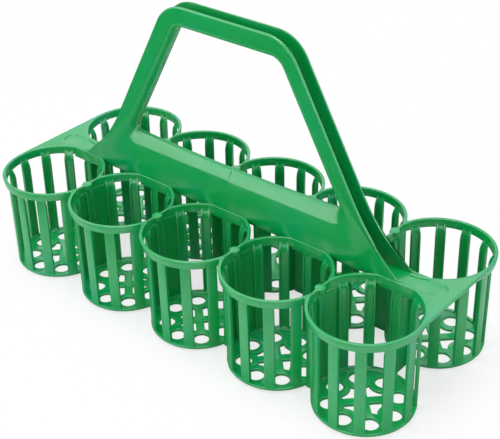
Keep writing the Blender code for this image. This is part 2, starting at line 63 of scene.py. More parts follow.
# Cup
RIM_OUTER = 0.0475
RIM_INNER = 0.0447
BAND_BOTTOM = 0.086
BAND_DRAFT = 0.0011
BAND_INNER_DRAFT = 0.001
RIM_ROUND = 0.0006
BAND_FOOT_ROUNDS = (0.0003, 0.0005)
BASE_RADIUS = 0.0425
BASE_ROUND = 0.0035
WALL = 0.003
WALL_DRAFT = 0.0011
FLOOR_THICKNESS = 0.0024
FLOOR_CENTRE = 0.001
FLOOR_FILLET = 0.0006
FLOOR_SOFT_EDGE = 0.00035
FLOOR_CUT = (-0.002, 0.006)
SILL = 0.004
SILL_ROUND = 0.0004
SLAT_HALF_WIDTH = 0.0045
SLAT_SINK = 0.0016
SLAT_LEVELS = (0.03, 0.055)
SLAT_BAND_LAP = 0.0004
SLAT_LEAST_DEPTH = 0.0012
SLAT_OUTER_ROUND = 0.0005
SLAT_INNER_ROUND = 0.0006
SLAT_TAPER_LEAD = 0.001
SLAT_TAPER_FOOT = 0.0775
SLAT_TAPER_TOP = 0.0895
SLAT_TAPER_IN = 0.0007
SLAT_RIDGE = 0.0016
SLAT_GROOVE_SLOPE = 0.0005
SLAT_GROOVE_DEPTH = 0.0013
SLATS = 12
HOLES = 8
HOLE_RADIUS = 0.0071
HOLE_CIRCLE = 0.0284
HOLE_BAND = 0.0128
CROSS_HALF_WIDTH = 0.0037
CUP_SEGMENTS = 120
SEAT_HEIGHTS = (0.08, 0.1)

# Divider
PLATE_FACE = 0.0011
PLATE_HALF = 0.0197
PLATE_ROUND = 0.0006
PLATE_FOOT = 0.0005
PLATE_TOP = 0.0932
JOINT_OUTER_REACH = 0.0132
JOINT_INNER_REACH = 0.0176
JOINT_SINK = 0.0003
JOINT_LEVELS = (0.03, 0.06)
JOINT_STEPS = 24
BUTTON_RADIUS = 0.0045
BUTTON_SEGMENTS = 40
# Share of the radius, and height
BUTTON_PROFILE = ((1, 0.0895), (1, 0.0928), (0.94, 0.0933), (0.75, 0.0936), (0.35, 0.0936))

# Row web
ROW_WEB_FLARE = 0.0005
ROW_WEB_SOFT_EDGE = 0.0003

# Deck
DECK_THICKNESS = 0.0025
DECK_ROUND = 0.0005
DECK_TIP_ANGLE = math.radians(3)
DECK_LAP = 0.0014
DECK_CHORD = 0.0106
DECK_MOUTH_REACH = 0.004
DECK_PROUD = 0.00003
RECESS_DEPTH = 0.0011
RECESS_HALF = 0.0087
RECESS_START_X = 0.12
RECESS_END_X = 0.2147

# Straight wall across each mouth, under the beam, with its top as a fine ledge
APRON_HALF = 0.0174
APRON_FRONT = 0.0111
APRON_BACK = 0.0088
APRON_BOTTOM = 0.083
APRON_SINK = 0.00005
APRON_ROUNDS = (0.0005, 0.0003, 0, 0)

# Handle
HALF_THICKNESS = 0.0083
CHEEK = 0.002
WEB = 0.0026
LIP_ROUND = 0.0014
LIP_INNER_ROUND = 0.0004
GROOVE_HALF = 0.0004
GROOVE_DEPTH = 0.0005
BEAM_BOTTOM = 0.0892
BEAM_SPLAY = 0.0026
BEAM_CREASE = 0.1212
CREST_END = 0.1343
CREST_SAG = 0.0034
CREST_TILT = math.radians(29)
CREST_SOFT_TILT = math.radians(22)
CREST_SOFT_DROP = 0.0005
NOTCH_HALF = 0.0005
NOTCH_DEPTH = 0.0003
LEG_WIDTH = 0.0179
LEG_ROUND = 0.006
INNER_DROP = 0.0016
HOLE_TOP = 0.251
HANDLE_TOP = 0.2706
HOLE_FOOT_HALF = 0.1178
HOLE_TOP_HALF = 0.055
HOLE_FOOT_RADIUS = 0.004
HOLE_TOP_RADIUS = 0.014
SHOULDER_RADIUS = 0.034
FOOT_TIP = Vector((0.1776, 0.0939))
BASE_SPLIT_X = 0.147
FLARE_TOP = 0.149
FLARE_UPPER_PULL = 0.026
FLARE_LOWER_PULL = 0.022
FLARE_ANGLE = math.radians(32)
FOOT_WEB_THICKNESS = 0.0024
FOOT_WEB_LEG_DEPTH = 0.0069
FOOT_WEB_END_X = 0.188
FOOT_WEB_LAP = 0.0004
FOOT_WEB_SINK = 0.0012
FOOT_WEB_ROOT = 0.004
FOOT_WEB_STEPS = 18
# How deep the web lies behind the flare, as a share of its depth in the leg, from leg to tip
FOOT_WEB_DEPTHS = (1.1, 1.5, 1.8, 1.9, 1.7, 1.1, 0.4)

# Handle cross-section: the pull of a quarter circle's Bezier handles, and what a tilt takes off it
QUARTER_PULL = 0.5523
TILT_PULL = 0.4


def polar(radius, angle):
    return Vector((radius * math.cos(angle), radius * math.sin(angle)))


def arc(centre, radius, start, end, steps):
    turns = [start + (end - start) * step / steps for step in range(steps + 1)]
    return [centre + polar(radius, turn) for turn in turns]


def rounded(points, radii, steps=4):
    """A closed outline with its corners rounded, each by its own radius."""
    outline = []
    count = len(points)
    for index, (corner, radius) in enumerate(zip(points, radii)):
        if radius == 0:
            outline.append(corner)
            continue
        before = (points[index - 1] - corner).normalized()
        after = (points[(index + 1) % count] - corner).normalized()
        half = before.angle(after) / 2
        tangent = radius / math.tan(half)
        centre = corner + (before + after).normalized() * radius / math.sin(half)
        first = corner + before * tangent - centre
        last = corner + after * tangent - centre
        turn = first.angle_signed(last)
        start = math.atan2(first.y, first.x)
        angles = [start - turn * step / steps for step in range(steps + 1)]
        outline += [centre + polar(radius, angle) for angle in angles]
    return outline


def skin(shape, rings, closed):
    """Join rings of equally many points by quads, and when closed also the last to the first."""
    rows = [[shape.verts.new(point) for point in ring] for ring in rings]
    count = len(rows[0])
    last = len(rows) if closed else len(rows) - 1
    for index in range(last):
        near = rows[index]
        far = rows[(index + 1) % len(rows)]
        for place in range(count):
            beside = (place + 1) % count
            shape.faces.new((near[place], near[beside], far[beside], far[place]))
    return rows


def capped(shape, rings):
    rows = skin(shape, rings, closed=False)
    shape.faces.new(rows[0])
    shape.faces.new(rows[-1])


def lathe(shape, outline, segments=CUP_SEGMENTS):
    """Turn a closed outline (radius, height) all the way round."""
    turns = [math.tau * step / segments for step in range(segments)]
    rings = [[(*polar(point.x, turn), point.y) for point in outline] for turn in turns]
    skin(shape, rings, closed=True)


def add_prism(shape, outline, bottom, top):
    capped(shape, [[(point[0], point[1], bottom) for point in outline],
                   [(point[0], point[1], top) for point in outline]])


def add_box(shape, x_range, y_range, z_range):
    outline = [(x_range[0], y_range[0]), (x_range[1], y_range[0]),
               (x_range[1], y_range[1]), (x_range[0], y_range[1])]
    add_prism(shape, outline, z_range[0], z_range[1])


def to_mesh(name, shape):
    bmesh.ops.recalc_face_normals(shape, faces=shape.faces)
    mesh = bpy.data.meshes.new(name)
    shape.to_mesh(mesh)
    shape.free()
    return mesh


def to_object(name, shape):
    piece = bpy.data.objects.new(name, to_mesh(name, shape))
    bpy.context.collection.objects.link(piece)
    return piece


def settle(piece):
    """Put a piece's modifiers into its mesh."""
    evaluated = piece.evaluated_get(bpy.context.evaluated_depsgraph_get())
    mesh = bpy.data.meshes.new_from_object(evaluated)
    mesh.name = piece.name
    piece.modifiers.clear()
    piece.data = mesh


def cut(piece, tools):
    """Take the tools out of a piece, and delete them."""
    for tool in tools:
        modifier = piece.modifiers.new("cut", "BOOLEAN")
        modifier.operation = "DIFFERENCE"
        modifier.solver = "EXACT"
        modifier.object = tool
        settle(piece)
        bpy.data.objects.remove(tool)


def soften(piece, width, segments=2, angle=50):
    modifier = piece.modifiers.new("soften", "BEVEL")
    modifier.width = width
    modifier.segments = segments
    modifier.limit_method = "ANGLE"
    modifier.angle_limit = math.radians(angle)
    modifier.use_clamp_overlap = True
    settle(piece)


def smooth(piece, angle=38):
    piece.data.shade_smooth()
    piece.data.set_sharp_from_angle(angle=math.radians(angle))


def gather(name, pieces):
    """Gather several pieces into one."""
    shape = bmesh.new()
    for piece in pieces:
        shape.from_mesh(piece.data)
        bpy.data.objects.remove(piece)
    return to_object(name, shape)


# Cups

def column_x(column):
    return (column - (CUPS_PER_ROW - 1) / 2) * CUP_PITCH


def wall_outer(height):
    return BASE_RADIUS + WALL_DRAFT * height / CUP_HEIGHT


def band_inner(height):
    return RIM_INNER - BAND_INNER_DRAFT * (CUP_HEIGHT - height) / (CUP_HEIGHT - BAND_BOTTOM)


def recess_cutter():
    centre = Vector((RECESS_END_X - RECESS_HALF, 0))
    end = arc(centre, RECESS_HALF, -math.pi / 2, math.pi / 2, steps=24)
    near, far = [Vector((RECESS_START_X, side * RECESS_HALF)) for side in (-1, 1)]
    shape = bmesh.new()
    add_prism(shape, [near] + end + [far], CUP_HEIGHT - RECESS_DEPTH, CUP_HEIGHT + CUTTER_PAST)
    return to_object("recess_cutter", shape)


def party_cutter(side):
    """Trims a rim a hair short of the middle between two cups."""
    shape = bmesh.new()
    inner = CUP_PITCH / 2 - HAIR
    add_box(shape, sorted((side * inner, side * CUTTER_REACH)), (-CUTTER_REACH, CUTTER_REACH),
            CUTTER_HEIGHTS)
    return to_object("party_cutter", shape)


def rim_band(sides, cup_x):
    """The band round the mouth, with soft edges, open where the beam stands."""
    points = [Vector((band_inner(BAND_BOTTOM), BAND_BOTTOM)),
              Vector((RIM_OUTER - BAND_DRAFT, BAND_BOTTOM)),
              Vector((RIM_OUTER, CUP_HEIGHT)), Vector((RIM_INNER, CUP_HEIGHT))]
    shape = bmesh.new()
    lathe(shape, rounded(points, (*BAND_FOOT_ROUNDS, RIM_ROUND, RIM_ROUND)))
    band = to_object("band", shape)
    tools = [party_cutter(side) for side in sides]
    seat = bmesh.new()
    reach = FOOT_TIP.x + HAIR
    add_box(seat, (max(-reach - cup_x, -CUTTER_REACH), min(reach - cup_x, CUTTER_REACH)),
            (ROW_Y - APRON_BACK - LAP, ROW_Y), SEAT_HEIGHTS)
    tools.append(to_object("seat", seat))
    cut(band, tools)
    return band


def slat_section(outer, inner, half_outer, half_inner):
    """Cross-section of a slat with a channel down its inner face, as (across, radius) pairs."""
    def on(radius, across):
        return Vector((across, math.sqrt(radius ** 2 - across ** 2)))

    # Where the slat thins out towards its top, the channel and the roundings shrink with it
    depth = min(SLAT_GROOVE_DEPTH, (outer - inner) * 0.42)
    ridge = half_inner - SLAT_RIDGE
    groove = ridge - SLAT_GROOVE_SLOPE
    points = [on(outer, -half_outer), Vector((0, outer)), on(outer, half_outer),
              on(inner, half_inner), on(inner, ridge), on(inner + depth, groove),
              on(inner + depth, -groove), on(inner, -ridge), on(inner, -half_inner)]
    outer_round = min(SLAT_OUTER_ROUND, (outer - inner) * 0.4)
    inner_round = min(SLAT_INNER_ROUND, (outer - inner) * 0.5)
    return rounded(points, (outer_round, 0, outer_round, inner_round, 0, 0, 0, 0, inner_round))


# Share of the taper's height, and share of the way from the wall's inner face to the band's
TAPER_CURVE = ((0.04, 0), (0.25, 0.06), (0.45, 0.2), (0.6, 0.36),
               (0.75, 0.58), (0.87, 0.8), (0.95, 0.94), (1, 1.04))


def add_slat(shape, angle):
    straight = (SILL - SLAT_SINK, *SLAT_LEVELS, SLAT_TAPER_FOOT - SLAT_TAPER_LEAD)
    levels = [(height, 0) for height in straight]
    levels += [(SLAT_TAPER_FOOT + (SLAT_TAPER_TOP - SLAT_TAPER_FOOT) * rise, share)
               for rise, share in TAPER_CURVE]
    across = Vector((-math.sin(angle), math.cos(angle)))
    out = polar(1, angle)
    rings = []
    for height, share in levels:
        outer = wall_outer(min(height, BAND_BOTTOM)) + SLAT_BAND_LAP * (height > BAND_BOTTOM)
        inner = wall_outer(height) - WALL
        inner += (band_inner(SLAT_TAPER_TOP) + LAP - inner) * share
        outer = max(outer, inner + SLAT_LEAST_DEPTH)
        half_inner = SLAT_HALF_WIDTH - SLAT_TAPER_IN * share
        section = slat_section(outer, inner, SLAT_HALF_WIDTH, half_inner)
        rings.append([(*(across * point.x + out * point.y), height) for point in section])
    capped(shape, rings)


def cross_opening(axis_angle):
    """Outline of the opening between two arms of the cross, scalloped round three holes."""
    step = math.tau / HOLES
    corner = CROSS_HALF_WIDTH * math.sqrt(2)
    horn_radius = HOLE_CIRCLE * math.cos(step / 2) - math.sqrt(
        HOLE_BAND ** 2 - (HOLE_CIRCLE * math.sin(step / 2)) ** 2)
    horn = polar(horn_radius, step / 2) - Vector((HOLE_CIRCLE, 0))
    horn_angle = math.atan2(horn.y, horn.x)
    arm_angle = math.pi - math.asin(CROSS_HALF_WIDTH / HOLE_BAND)
    spans = ((-step, arm_angle, horn_angle), (0, math.tau - horn_angle, horn_angle),
             (step, math.tau - horn_angle, math.tau - arm_angle))
    outline = [polar(corner, axis_angle)]
    for offset, start, end in spans:
        turn = axis_angle + offset
        points = arc(polar(HOLE_CIRCLE, turn), HOLE_BAND, turn + start, turn + end, steps=8)
        outline += points if offset == -step else points[1:]
    return outline


def cup_floor():
    """The pierced floor with its upturned sill."""
    inner = BASE_RADIUS - WALL
    points = [Vector((FLOOR_CENTRE, 0)), Vector((BASE_RADIUS, 0)), Vector((wall_outer(SILL), SILL)),
              Vector((inner, SILL)), Vector((inner, FLOOR_THICKNESS)),
              Vector((FLOOR_CENTRE, FLOOR_THICKNESS))]
    outline = rounded(points, (0, BASE_ROUND, SILL_ROUND, SILL_ROUND, FLOOR_FILLET, 0), steps=5)
    turns = [math.tau * step / CUP_SEGMENTS for step in range(CUP_SEGMENTS)]
    shape = bmesh.new()
    rings = [[(*polar(point.x, turn), point.y) for turn in turns] for point in outline]
    capped(shape, rings)
    floor = to_object("floor", shape)
    tool = bmesh.new()
    for hole in range(HOLES):
        ring = arc(polar(HOLE_CIRCLE, math.tau * hole / HOLES), HOLE_RADIUS, 0, math.tau, steps=28)
        add_prism(tool, ring[:-1], *FLOOR_CUT)
    for arm in range(4):
        add_prism(tool, cross_opening(math.tau * arm / 4), *FLOOR_CUT)
    cut(floor, [to_object("floor_cutters", tool)])
    soften(floor, FLOOR_SOFT_EDGE)
    return floor


def beam_apron(shape):
    """Straight wall across the mouth, whose top joins the rim's ends as a fine ledge."""
    top = CUP_HEIGHT - APRON_SINK
    front = ROW_Y - APRON_FRONT
    back = ROW_Y - APRON_BACK
    section = rounded([Vector((front, APRON_BOTTOM)), Vector((front, top)), Vector((back, top)),
                       Vector((back, APRON_BOTTOM))], APRON_ROUNDS)
    capped(shape, [[(x, point.x, point.y) for point in section] for x in (-APRON_HALF, APRON_HALF)])


def front_cup(column, floor_mesh):
    cup_x = column_x(column)
    sides = [way for way in (-1, 1) if 0 <= column + way < CUPS_PER_ROW]
    slats = bmesh.new()
    for slat in range(SLATS):
        add_slat(slats, math.tau * slat / SLATS)
    beam_apron(slats)
    floor = bpy.data.objects.new("floor", floor_mesh)
    bpy.context.collection.objects.link(floor)
    band = rim_band(sides, cup_x)
    cup = gather(f"front_cup_{column + 1}", [band, to_object("slats", slats), floor])
    cup.location = (cup_x, -ROW_Y, 0)
    smooth(cup)
    return cup


# Dividers

def divider(name):
    """Plate at the height of the bands, the filled joint of the two cups below it, and a button."""
    shape = bmesh.new()
    plate = rounded([Vector((-PLATE_FACE, -PLATE_HALF)), Vector((PLATE_FACE, -PLATE_HALF)),
                     Vector((PLATE_FACE, PLATE_HALF)), Vector((-PLATE_FACE, PLATE_HALF))],
                    [PLATE_ROUND] * 4, steps=3)
    add_prism(shape, plate, BAND_BOTTOM, PLATE_TOP)
    span = JOINT_OUTER_REACH + JOINT_INNER_REACH
    reaches = [-JOINT_OUTER_REACH + span * step / JOINT_STEPS for step in range(JOINT_STEPS + 1)]
    rings = []
    for height in (PLATE_FOOT, BASE_ROUND, *JOINT_LEVELS, BAND_BOTTOM + LAP):
        radius = wall_outer(max(height, BASE_ROUND)) - JOINT_SINK
        halves = [max(PLATE_FACE, CUP_PITCH / 2 - math.sqrt(radius ** 2 - reach ** 2))
                  for reach in reaches]
        edge = list(zip(halves, reaches))
        rings.append([(x, y, height) for x, y in edge]
                     + [(-x, y, height) for x, y in reversed(edge)])
    capped(shape, rings)
    turns = [math.tau * step / BUTTON_SEGMENTS for step in range(BUTTON_SEGMENTS)]
    capped(shape, [[(*polar(BUTTON_RADIUS * share, turn), height) for turn in turns]
                   for share, height in BUTTON_PROFILE])
    return to_object(name, shape)


# Row webs

def row_web(name):
    """Upright web between two facing cups, from the floor to the rim bands."""
    shoulder = BAND_BOTTOM - LAP
    band_foot = RIM_OUTER - BAND_DRAFT
    profile = ((BASE_RADIUS, PLATE_FOOT), (BASE_RADIUS, BASE_ROUND),
               (wall_outer(shoulder), shoulder), (band_foot, shoulder),
               (band_foot + ROW_WEB_FLARE, BEAM_BOTTOM - HAIR))
    half = [Vector((ROW_Y - radius + LAP, height)) for radius, height in profile]
    outline = half + [Vector((-point.x, point.y)) for point in reversed(half)]
    shape = bmesh.new()
    capped(shape, [[(x, point.x, point.y) for point in outline] for x in (-PLATE_FACE, PLATE_FACE)])
    web = to_object(name, shape)
    soften(web, ROW_WEB_SOFT_EDGE)
    smooth(web)
    return web


# Decks

def right_deck():
    reach = RIM_OUTER - DECK_LAP
    corner_angle = math.asin((ROW_Y - DECK_CHORD) / reach)
    front = arc(Vector((END_CUP_X, -ROW_Y)), reach, DECK_TIP_ANGLE, corner_angle, steps=48)
    front.append(Vector((END_CUP_X - DECK_MOUTH_REACH, -DECK_CHORD)))
    front.insert(0, Vector((DECK_EDGE_X, front[0].y)))
    outline = front + [Vector((point.x, -point.y)) for point in reversed(front)]
    shape = bmesh.new()
    add_prism(shape, outline, CUP_HEIGHT - DECK_THICKNESS, CUP_HEIGHT + DECK_PROUD)
    deck = to_object("right_deck", shape)
    cut(deck, [recess_cutter()])
    soften(deck, DECK_ROUND, segments=3)
    smooth(deck)
    return deck


# Handle

LEG_WAY = Vector((HOLE_TOP_HALF - HOLE_FOOT_HALF, HOLE_TOP - CREST_END)).normalized()
LEG_OUT = Vector((LEG_WAY.y, -LEG_WAY.x))
DOWN = Vector((0, -1))
UP = Vector((0, 1))


def fillet(corner, way_in, way_out, radius, steps):
    """Points of a rounded corner, each with the way out of it."""
    out_start = Vector((way_in.y, -way_in.x))
    turning = way_in.angle(way_out)
    centre = corner - way_in * radius * math.tan(turning / 2) - out_start * radius
    first = math.atan2(out_start.y, out_start.x)
    turns = [first + turning * step / steps for step in range(steps + 1)]
    return [(centre + polar(radius, turn), polar(1, turn)) for turn in turns]


def crest_height(x):
    return CREST_END - CREST_SAG * (1 - (x / HOLE_FOOT_HALF) ** 2)


# Stations along the beam: closely set round the notch, then even up to the corner
NOTCH_XS = [0, 0.00025, 0.0006, 0.0012]
BEAM_SPAN = 0.1106
BEAM_STEPS = 22
BEAM_XS = NOTCH_XS + [BEAM_SPAN * step / BEAM_STEPS for step in range(1, BEAM_STEPS)]
CORNER_STEPS = 8
FLARE_STEPS = 16
LEG_STEPS = 4
SHOULDER_STEPS = 14
GRIP_STEPS = 3
ROUND_STEPS = 12
LIP_STEPS = 4
INSIDE_STEPS = 4


def hole_stations(tilt, lift):
    """Right half of the hand hole: edge point, way out, round depth, width and tilt."""
    level = Vector((1, 0))
    foot = fillet(Vector((HOLE_FOOT_HALF, CREST_END)), level, LEG_WAY,
                  HOLE_FOOT_RADIUS, CORNER_STEPS)
    head = fillet(Vector((HOLE_TOP_HALF, HOLE_TOP)), LEG_WAY, -level,
                  HOLE_TOP_RADIUS, SHOULDER_STEPS)
    stations = []
    for x in BEAM_XS:
        crest = crest_height(x) - NOTCH_DEPTH * (x < NOTCH_HALF)
        depth = crest - BEAM_CREASE - lift
        stations.append((Vector((x, crest)), DOWN, depth, HALF_THICKNESS, tilt))
    for step, (point, out) in enumerate(foot):
        share = step / CORNER_STEPS
        ease = share * share * (3 - 2 * share)
        depth = (CREST_END - BEAM_CREASE - lift) * (1 - ease) + LEG_ROUND * ease
        width = HALF_THICKNESS * (1 - ease) + LEG_ROUND * ease
        stations.append((point, out, depth, width, tilt * (1 - ease)))
    leg_steps = FLARE_STEPS + LEG_STEPS
    for step in range(1, leg_steps):
        point = foot[-1][0].lerp(head[0][0], step / leg_steps)
        stations.append((point, LEG_OUT, LEG_ROUND, LEG_ROUND, 0))
    stations += [(point, out, LEG_ROUND, LEG_ROUND, 0) for point, out in head]
    for step in range(1, GRIP_STEPS + 1):
        point = Vector((head[-1][0].x * (1 - step / GRIP_STEPS), HOLE_TOP))
        stations.append((point, UP, LEG_ROUND, LEG_ROUND, 0))
    return stations


def leg_outer_point(height):
    start = Vector((HOLE_FOOT_HALF, CREST_END)) + LEG_OUT * LEG_WIDTH
    return start + LEG_WAY * ((height - start.y) / LEG_WAY.y)


def flare(steps):
    """Outer edge of the leg's foot, from the leg down to the tip."""
    top = leg_outer_point(FLARE_TOP)
    upper = top - LEG_WAY * FLARE_UPPER_PULL
    lower = FOOT_TIP + polar(FLARE_LOWER_PULL, math.pi - FLARE_ANGLE)
    knots = [point.to_3d() for point in (top, upper, lower, FOOT_TIP)]
    return [point.to_2d() for point in interpolate_bezier(*knots, steps + 1)]


def outline_stations():
    """Right half of the handle's outer edge, with as many points as the hand hole has stations."""
    count = len(BEAM_XS)
    stations = [Vector((BASE_SPLIT_X * step / count, BEAM_BOTTOM)) for step in range(count)]
    for step in range(CORNER_STEPS):
        x = BASE_SPLIT_X + (FOOT_TIP.x - BASE_SPLIT_X) * step / (CORNER_STEPS - 1)
        stations.append(Vector((x, BEAM_BOTTOM)))
    stations += reversed(flare(FLARE_STEPS))
    shoulder = fillet(leg_outer_point(HANDLE_TOP), LEG_WAY, Vector((-1, 0)),
                      SHOULDER_RADIUS, SHOULDER_STEPS)
    leg_foot = stations[-1]
    for step in range(1, LEG_STEPS):
        stations.append(leg_foot.lerp(shoulder[0][0], step / LEG_STEPS))
    stations += [point for point, out in shoulder]
    for step in range(1, GRIP_STEPS + 1):
        stations.append(Vector((shoulder[-1][0].x * (1 - step / GRIP_STEPS), HANDLE_TOP)))
    return stations


def whole_loop(half):
    return half + [Vector((-point.x, point.y)) for point in reversed(half[1:-1])]


def inset_loop(loop, amount):
    count = len(loop)
    moved = []
    for place, point in enumerate(loop):
        before = (point - loop[place - 1]).normalized()
        after = (loop[(place + 1) % count] - point).normalized()
        way = (before + after).normalized()
        moved.append(point + Vector((-way.y, way.x)) * amount / max(way.dot(after), 0.5))
    return moved


def splay(height):
    """How far the beam's face stands out towards its foot."""
    return BEAM_SPLAY * max(BEAM_CREASE - height, 0) / (BEAM_CREASE - BEAM_BOTTOM)


def ring_at(loop, depth):
    return [(point.x, depth, point.y) for point in loop]


def splayed_ring(loop, depth):
    return [(point.x, depth - splay(point.y), point.y) for point in loop]


def half_ring(stations, share, web, cheek, drop):
    """Right half of a ring, along a Bezier curve at each station."""
    half = []
    for point, out, round_depth, round_width, tilt in stations:
        depth = round_depth - drop - web
        width = round_width - drop - cheek
        start = Vector((0, depth))
        end = Vector((width, 0))
        first = start + Vector((math.sin(tilt), -math.cos(tilt))) * depth * QUARTER_PULL
        second = end - Vector((width * (QUARTER_PULL - TILT_PULL * tilt), 0))
        rest = 1 - share
        place = (start * rest ** 3 + first * 3 * rest ** 2 * share
                 + second * 3 * rest * share ** 2 + end * share ** 3)
        edge = point + out * (web + place.y)
        half.append((edge.x, cheek + place.x - HALF_THICKNESS, edge.y))
    return half


def round_ring(sides, share, web, cheek, drop):
    """Ring of the rounded edge at a share of the way from the face to the web."""
    right, left = [half_ring(stations, share, web, cheek, drop) for stations in sides]
    return right + [(-x, y, z) for x, y, z in reversed(left[1:-1])]


def front_half_shell():
    """One leaf of the handle: lip, rounded edge, groove, web and inside, as one closed skin."""
    outline = whole_loop(outline_stations())
    stations = hole_stations(CREST_TILT, 0)
    sides = (stations, hole_stations(CREST_SOFT_TILT, CREST_SOFT_DROP))
    cheek_inner = CHEEK - HALF_THICKNESS
    corner = LIP_INNER_ROUND * 0.3
    rings = [splayed_ring(inset_loop(outline, LIP_INNER_ROUND), cheek_inner),
             splayed_ring(inset_loop(outline, corner), cheek_inner - corner)]
    for step in range(LIP_STEPS + 1):
        turn = math.pi / 2 * step / LIP_STEPS
        inset = LIP_ROUND * (1 - math.cos(turn))
        rings.append(splayed_ring(inset_loop(outline, inset),
                                  -HALF_THICKNESS + LIP_ROUND * (1 - math.sin(turn))))
    for step in range(ROUND_STEPS):
        rings.append(round_ring(sides, step / ROUND_STEPS, 0, 0, 0))
    last = round_ring(sides, 1, 0, 0, 0)
    rings.append([(x, depth - GROOVE_HALF, z) for x, depth, z in last])
    groove = [point + out * GROOVE_DEPTH for point, out, depth, width, tilt in stations]
    rings.append(ring_at(whole_loop(groove), -GROOVE_HALF / 4))
    rings.append(ring_at(whole_loop(groove), 0))
    web = [point + out * WEB for point, out, depth, width, tilt in stations]
    rings.append(ring_at(whole_loop(web), 0))
    for step in range(INSIDE_STEPS, -1, -1):
        rings.append(round_ring(sides, step / INSIDE_STEPS, WEB, CHEEK, INNER_DROP))
    shape = bmesh.new()
    skin(shape, rings, closed=True)
    shell = to_object("front_handle_shell", shape)
    smooth(shell, 30)
    return shell


def right_foot_web():
    """The web between the two leaves, under the flare and out over the deck."""
    curve = flare(FOOT_WEB_STEPS)
    spans = len(FOOT_WEB_DEPTHS) - 1
    leg_depth = LEG_WIDTH - FOOT_WEB_LEG_DEPTH
    floor = CUP_HEIGHT - RECESS_DEPTH
    upper = []
    lower = []
    for step, point in enumerate(curve):
        along = step / FOOT_WEB_STEPS
        index = min(int(along * spans), spans - 1)
        low, high = FOOT_WEB_DEPTHS[index:index + 2]
        share = low + (high - low) * (along - index / spans) * spans
        way = (curve[min(step + 1, FOOT_WEB_STEPS)] - curve[max(step - 1, 0)]).normalized()
        inward = Vector((way.y, -way.x))
        over = point + inward * leg_depth * share
        upper.append(Vector((over.x, max(over.y, floor + DECK_PROUD))))
        painted_shadow_footprint = point + inward * (leg_depth * share + FOOT_WEB_THICKNESS)
        lower.append(Vector((painted_shadow_footprint.x, max(painted_shadow_footprint.y, floor - FOOT_WEB_SINK))))
    upper[0] += LEG_WAY * FOOT_WEB_ROOT
    lower[0] += LEG_WAY * FOOT_WEB_ROOT
    for share in (0.35, 0.7, 1):
        reach = curve[-1].x + (FOOT_WEB_END_X - curve[-1].x) * share
        upper.append(Vector((reach, floor + DECK_PROUD)))
        lower.append(Vector((reach, floor - FOOT_WEB_SINK)))
    half_width = HALF_THICKNESS - CHEEK + FOOT_WEB_LAP
    outline = upper + lower[::-1]
    shape = bmesh.new()
    capped(shape, [[(point.x, side * (half_width + splay(point.y)), point.y) for point in outline]
                   for side in (-1, 1)])
    web = to_object("right_foot_web", shape)
    smooth(web, 30)
    return web


# Finish

PLASTIC_CLOUDS = ((0.3, (0.001, 0.338, 0.066, 1)), (0.5, (0.001, 0.350, 0.080, 1)),
                  (0.7, (0.001, 0.345, 0.118, 1)))
# Pale colour on edges: partly wear, partly a painted highlight standing in for light caught on
# rounded edges
EDGE_WEAR_AND_HIGHLIGHT_COLOUR = (0.08, 0.56, 0.27, 1)
EDGE_BEVEL_RADIUS = 0.0008


def math_node(tree, operation, first, second):
    """One Math node; each input is a number or another node's output."""
    node = tree.nodes.new("ShaderNodeMath")
    node.operation = operation
    for socket, source in zip(node.inputs, (first, second)):
        if isinstance(source, (int, float)):
            socket.default_value = source
        else:
            tree.links.new(source, socket)
    return node.outputs[0]


def grey(value):
    return value, value, value, 1


def ramp_node(tree, source, stops):
    """A colour ramp over the given (position, colour) stops."""
    node = tree.nodes.new("ShaderNodeValToRGB")
    node.color_ramp.elements[0].position = stops[0][0]
    node.color_ramp.elements[0].color = stops[0][1]
    node.color_ramp.elements[1].position = stops[-1][0]
    node.color_ramp.elements[1].color = stops[-1][1]
    for position, colour in stops[1:-1]:
        node.color_ramp.elements.new(position).color = colour
    tree.links.new(source, node.inputs["Fac"])
    return node.outputs["Color"]


